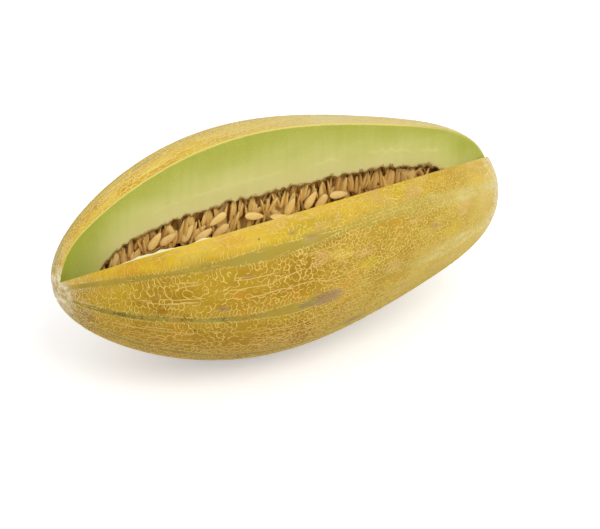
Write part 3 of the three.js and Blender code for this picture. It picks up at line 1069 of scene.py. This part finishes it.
def lay_strands(net, band):
    """Long stout strands along a band, wavy and broken."""
    rng = np.random.default_rng(200 + band)
    for strand in range(STRANDS):
        s = np.arange(40 + rng.uniform(0, 30), NET_TO - 25, 1.2)
        line = 31 * band + strand
        place = rng.uniform(-0.75, 0.75) + 0.22 * wander(s, 26.0, line)
        place = place + 0.06 * wander(s, 6.0, line)
        angle = place_in_band(band, s, place * half_band(band, s))
        whole = wander(s, 15.0, line + 500) > 0.05 + 0.4 * eased(s, 160, 240)
        broad, less = STRAND_WIDTHS
        width = (broad - less * eased(s, *FINE_BETWEEN)) * thickness(s, angle)
        for first, last in stretches((np.abs(place) < 0.85) & whole):
            run = slice(first, last)
            from_end = np.minimum(np.arange(last - first), np.arange(last - first)[::-1])
            taper = np.minimum(1, from_end / 4 + 0.3)
            net.lay(s[run], angle[run], width[run] * taper, rng.uniform(0.5, 1.0))


def make_netting():
    """The netting, coarse on the stem half and finer towards the blossom end, in pieces
    of two bands each."""
    for first in range(0, STRIPES, 2):
        net = Net()
        for band in (first, first + 1):
            lay_cells(net, band, 1.0, 0.2, 1.0)
            lay_cells(net, band, SPUR_CELLS, 0.76, 0.65)
            lay_strands(net, band)
        net.make(f"rind_net_{first // 2 + 1}")


make_netting()


# ------------------------------------------------------------------ seeds
def tube_faces(rings, sides, first=0):
    """The faces between rings of points that follow each other from this index."""
    faces = []
    for i in range(rings - 1):
        for j in range(sides):
            a, b = first + i * sides + j, first + i * sides + (j + 1) % sides
            faces.append((a, b, b + sides, a + sides))
    return faces


def seed_shape(rings=13, sides=14):
    """One seed along X, with its stalk end to +X, as points, faces and how near the rim
    each point is."""
    places = -np.cos(math.pi * np.arange(1, rings + 1) / (rings + 1))
    fine = np.linspace(-1, 1, 401)
    widest = (np.sqrt(1 - fine**2) * (1 - SEED_TAPER * fine)).max()
    widths = np.sqrt(1 - places**2) * (1 - SEED_TAPER * places) / widest
    turns = np.arange(sides) * WHOLE_TURN / sides
    side = np.cos(turns)
    flat = np.sign(np.sin(turns)) * np.abs(np.sin(turns)) ** 0.8
    points = [(-SEED_LENGTH / 2, 0, 0)]
    rims = [1.0]
    for place, width in zip(places, widths):
        for c, t in zip(side, flat):
            plump = 1 - 0.25 * (1 - width)
            points.append((place * SEED_LENGTH / 2, c * width * SEED_WIDTH / 2,
                           t * width * plump * SEED_THICKNESS / 2))
            rims.append(abs(c) ** 6)
    points.append((SEED_LENGTH / 2, 0, 0))
    rims.append(1.0)
    end = len(points) - 1
    faces = [(0, 1 + (j + 1) % sides, 1 + j) for j in range(sides)]
    faces += tube_faces(rings, sides, 1)
    faces += [(end, end - sides + j, end - sides + (j + 1) % sides) for j in range(sides)]
    return np.array(points), faces, np.array(rims)


SEED_POINTS, SEED_FACES, SEED_RIMS = seed_shape()


def node_pose(node):
    """The place and turn of a seed node: its long, wide and thin directions as columns."""
    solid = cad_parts[node]
    count = len(solid.data.vertices)
    points = np.empty(count * 3)
    solid.data.vertices.foreach_get("co", points)
    points = points.reshape(-1, 3) / MM - (0, 0, AXIS_HEIGHT)
    unique = np.unique(points.round(3), axis=0)
    middle = unique.mean(axis=0)
    _, _, axes = np.linalg.svd(unique - middle)
    along = (unique - middle) @ axes[0]
    if along.max() < -along.min():
        axes[0] = -axes[0]
        along = -along
    centre = middle + axes[0] * (along.max() + along.min()) / 2
    axes[2] = np.cross(axes[0], axes[1])
    return centre, axes.T


def seed_mesh(centre, turn, tone, bend):
    """A detailed seed's points in this pose, slightly bowed, its faces and its values."""
    points = SEED_POINTS * SEED_SHRINK
    points[:, 2] += bend * (points[:, 0] / SEED_LENGTH) ** 2
    values = {"tone": np.full(len(points), tone), "rim": SEED_RIMS}
    return points @ turn.T + centre, SEED_FACES, values


def make_seeds():
    """One detailed seed in place of each seed node."""
    rng = random.Random(11)
    for node in sorted(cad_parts):
        if node in ("melon", "seed_pulp"):
            continue
        centre, turn = node_pose(node)
        tone, bend = rng.random() ** 1.6, rng.uniform(-SEED_BOW, SEED_BOW)
        name = node.replace("seed", "melon_seed")
        seed = make_joined(name, [seed_mesh(centre, turn, tone, bend)], SEED)
        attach(seed, "root")
        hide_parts(node)


def turned_to(lean, turn, yaw):
    """A seed's directions: stalk end leaning up from +X, flat side towards -Y, then spun
    about its own length by turn and swung about the upright by yaw."""
    spin = Matrix.Rotation(math.radians(90 + turn), 3, "X")
    tip = Matrix.Rotation(-math.radians(lean), 3, "Y")
    swing = Matrix.Rotation(math.radians(yaw), 3, "Z")
    return np.array(swing @ tip @ spin)


def clear_of(centre, places, room):
    """Whether a seed's middle has this much room from all the others."""
    return all(np.linalg.norm(centre - other) >= room for other, _ in places)


def standing_places(rng):
    """Places and turns of seeds that stand in the pulp behind the upright cut face."""
    places = []
    for _ in range(INNER_SEEDS):
        x = rng.uniform(CAVITY_FROM + INNER_SEED_ENDS[0], CAVITY_TO - INNER_SEED_ENDS[1])
        roof, floor = float(cavity_radius(x)), float(corner_of_cut(x)[1])
        if roof - floor < LEAST_HEADROOM:
            continue
        y = CUT_SETBACK + rng.uniform(*INNER_SEED_DEPTH)
        z = rng.uniform(floor - INNER_SEED_FOOT, max(floor, roof - INNER_SEED_HEAD))
        centre = np.array([x, y, z])
        if clear_of(centre, places, INNER_SEED_ROOM):
            near, far, spread = SEED_TURNS
            flat = near if x < SEED_TURN_CHANGE else far
            lean, turn = rng.gauss(*SEED_LEAN), rng.gauss(flat, spread)
            places.append((centre, turned_to(lean, turn, rng.gauss(0, SEED_YAW_SPREAD))))
    return places


def lying_places(rng):
    """Places and turns of seeds that lie in the pulp under the lower cut face."""
    places = []
    for _ in range(FRONT_SEEDS):
        x = rng.uniform(CAVITY_FROM + FRONT_SEED_ENDS, CAVITY_TO - FRONT_SEED_ENDS)
        y, z = (float(value) for value in corner_of_cut(x))
        reach = cavity_radius(x) - abs(z)
        forward = rng.uniform(1, max(1.5, FRONT_SEED_REACH * float(reach)))
        centre = np.array([x, y - forward, z + CUT_SLOPE * forward])
        centre = centre - FRONT_SEED_SINK * np.array([0, CUT_SLOPE, 1])
        inside = np.hypot(centre[1], centre[2]) <= cavity_radius(x) - FRONT_SEED_MARGIN
        if inside and clear_of(centre, places, FRONT_SEED_ROOM):
            lie = Matrix.Rotation(-math.atan(CUT_SLOPE), 3, "X")
            turn = Matrix.Rotation(rng.uniform(0, FRONT_SEED_TURNS), 3, "Z")
            places.append((centre, np.array(lie @ turn)))
    return places


def make_inner_seeds():
    """The seeds that show in the gaps, further back in the pulp, as one piece."""
    rng = random.Random(5)
    parts = []
    for centre, turn in standing_places(rng) + lying_places(rng):
        tone, bend = rng.random(), rng.uniform(-INNER_SEED_BOW, INNER_SEED_BOW)
        parts.append(seed_mesh(centre, turn, tone, bend))
    seeds = make_joined("inner_seeds", parts, INNER_SEED)
    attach(seeds, "root")


make_seeds()
make_inner_seeds()


# ------------------------------------------------------------------ pulp
def make_pulp():
    """The fibrous bed under and behind the seeds, as one closed body."""
    x = np.linspace(CAVITY_FROM + PULP_GAP, CAVITY_TO - PULP_GAP, PULP_COLUMNS)
    radius = np.maximum(0, cavity_radius(x) - PULP_GAP)
    corner_y, corner_z = corner_of_cut(x)
    corner_y = corner_y + PULP_BACK
    corner_z = corner_z - PULP_FRONT - CUT_SLOPE * PULP_BACK
    reach = np.hypot(corner_y, corner_z)
    back, front = edge_angles(radius, corner_y, corner_z)
    at_corner = np.arctan2(corner_z, corner_y)
    turns = np.linspace(0, 1, PULP_ARC_ROWS + 1)[:, None]
    arc = ring(x[None], radius[None], back[None] + (front - back)[None] * turns)
    corner = ring(x, np.minimum(radius, reach), at_corner)
    rows = np.linspace(0, 1, PULP_ROWS + 1)
    face = np.concatenate([between(arc[-1], corner, rows), between(corner, arc[0], rows)[1:]])
    room = np.sin(math.pi * np.linspace(0, 1, len(face)))[:, None] ** 0.5
    lump = 1.3 * rough(face, 4.0, 3) + 0.7 * rough(face, 1.6, 9)
    push = room * (lump - 0.9) * np.clip(radius / 12, 0, 1)[None]
    face[..., 1] += push * -0.7
    face[..., 2] += push * 0.7
    work = Patchwork()
    work.add(arc, 0, PULP_BACK_MAP)
    work.add(face, 0, PULP_FACE_MAP)
    pulp = work.make("pulp_bed", [PULP])
    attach(pulp, "root")
    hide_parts("seed_pulp")


make_pulp()


def fibre(path, thick, sides=4):
    """A tapering round fibre along a path of points, as points and faces."""
    count = len(path)
    taper = thick / 2 * (1 - np.linspace(0, 1, count) ** 1.5 * 0.85)
    direction = np.gradient(path, axis=0)
    direction /= np.linalg.norm(direction, axis=1, keepdims=True)
    aside = np.cross(direction, (0.3, 1.0, 0.2))
    aside /= np.linalg.norm(aside, axis=1, keepdims=True)
    other = np.cross(direction, aside)
    turns = np.arange(sides) * WHOLE_TURN / sides
    rings = path[:, None] + taper[:, None, None] * (
        aside[:, None] * np.cos(turns)[:, None] + other[:, None] * np.sin(turns)[:, None]
    )
    last = (count - 1) * sides
    caps = [tuple(range(sides))[::-1], tuple(range(last, last + sides))]
    return rings.reshape(-1, 3), tube_faces(count, sides) + caps


def bowed(root, tip, side):
    """Points from root to tip, bowed sideways."""
    return root + (tip - root) * FIBRE_SHARES + side * np.sin(math.pi * FIBRE_SHARES) * 0.7


def torn_fibre(rng, x, y, rim):
    """The path, thickness and paleness of a fibre in a tuft at the hollow's rim, which
    sticks out and over the cut face."""
    tuft = max(0.0, 0.45 + 0.75 * float(rough(np.array([x, 0.0, 0.0]), 3.6, 7)))
    long = (0.1 + 2.2 * tuft**1.5) * rng.uniform(0.35, 1.1)
    root = np.array([x, y + FIBRE_ROOT, rim - rng.uniform(0.4, 1.6)])
    tip = np.array([x + rng.normal(0, 0.9), y - rng.uniform(0.1, 0.55), rim + long])
    thick, side = rng.uniform(0.2, 0.42 + 0.25 * tuft), rng.normal(0, 0.3, 3)
    path = bowed(root, tip, side)
    most, soon = FIBRE_BEND
    forward = most * np.minimum(1, soon * FIBRE_SHARES[:, 0])
    path[:, 1] = np.minimum(path[:, 1], y + FIBRE_ROOT - forward)
    return path, thick, rng.uniform(0, 0.75)


def loose_fibre(rng, x, y, rim):
    """The path, thickness and paleness of a longer fibre that hangs among the seeds."""
    root = np.array([x, y + rng.uniform(0.3, 3.0), rim - rng.uniform(0.3, 1.0)])
    tip = root + (rng.normal(0, 3.0), rng.uniform(0, 2.5), -rng.uniform(3, 9))
    thick, side = rng.uniform(0.22, 0.5), rng.normal(0, 0.8, 3)
    return bowed(root, tip, side), thick, rng.uniform(0.55, 1.0)


def make_fibres():
    """Torn fibres along the hollow's rim on the upright cut face, in tufts, and longer
    ones that hang among the seeds, as one piece."""
    rng = np.random.default_rng(21)
    parts = []
    for kind in [torn_fibre] * FIBRES + [loose_fibre] * LOOSE_FIBRES:
        x = rng.uniform(CAVITY_EXITS[0] + 1, CAVITY_EXITS[1] - 1)
        y, _ = corner_of_cut(x)
        rim = math.sqrt(max(0, float(cavity_radius(x) + scallop(x)) ** 2 - float(y) ** 2))
        path, thick, tone = kind(rng, x, y, rim)
        points, faces = fibre(path, thick)
        parts.append((points, faces, {"tone": np.full(len(points), tone)}))
    made = make_joined("pulp_fibres", parts, FIBRE)
    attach(made, "root")


make_fibres()


# ------------------------------------------------------------------ stage, light and camera
def make_floor():
    """A wide matt floor that the camera alone also sees glow, so that it shows white but
    still takes the shadow."""
    f = Finish("floor")
    glow = f.times(f.seen(), FLOOR_GLOW)
    matt = f.finish(FLOOR_GREY, 1.0, Emission_Color=WHITE, Emission_Strength=glow)
    far, low = FLOOR_SIZE / 2 / MM, -AXIS_HEIGHT
    corners = [(-far, -far, low), (far, -far, low), (far, far, low), (-far, far, low)]
    floor = make_object("floor", corners, [(0, 1, 2, 3)], [matt])


def make_world():
    """White to look at, and a little dimmer as a light on the object."""
    world = bpy.data.worlds.new("studio")
    world.use_nodes = True
    nodes = Nodes(world.node_tree)
    background = nodes.tree.nodes["Background"]
    inputs = {"Value": nodes.seen(), "To Min": WORLD_LIGHT, "To Max": 1.0}
    nodes.link(nodes.node("ShaderNodeMapRange", inputs), background.inputs["Strength"])
    nodes.link(WHITE, background.inputs["Color"])
    bpy.context.scene.world = world


def add_to_scene(name, data, place, turn):
    obj = bpy.data.objects.new(name, data)
    obj.location = place
    obj.rotation_euler = turn.to_euler()
    bpy.context.scene.collection.objects.link(obj)
    return obj


def make_lamp(name, place, aim, size, power):
    light = bpy.data.lights.new(name, "AREA")
    light.shape = "DISK"
    light.size = size
    light.energy = power
    add_to_scene(name, light, place, (Vector(aim) - Vector(place)).to_track_quat("-Z", "Y"))


def make_camera():
    """The view from in front, to the stem end's side and above."""
    camera = bpy.data.cameras.new("camera")
    camera.lens = CAMERA_LENS
    camera.sensor_width = CAMERA_SENSOR
    azimuth, elevation = math.radians(CAMERA_AZIMUTH), math.radians(CAMERA_ELEVATION)
    level = math.cos(elevation)
    back = Vector((math.sin(azimuth) * level, -math.cos(azimuth) * level, math.sin(elevation)))
    obj = add_to_scene("camera", camera, CAMERA_PLACE, back.to_track_quat("Z", "Y"))
    bpy.context.scene.camera = obj


make_floor()
make_world()
for lamp in LAMPS:
    make_lamp(*lamp)
make_camera()

bpy.context.scene.view_settings.view_transform = "Standard"
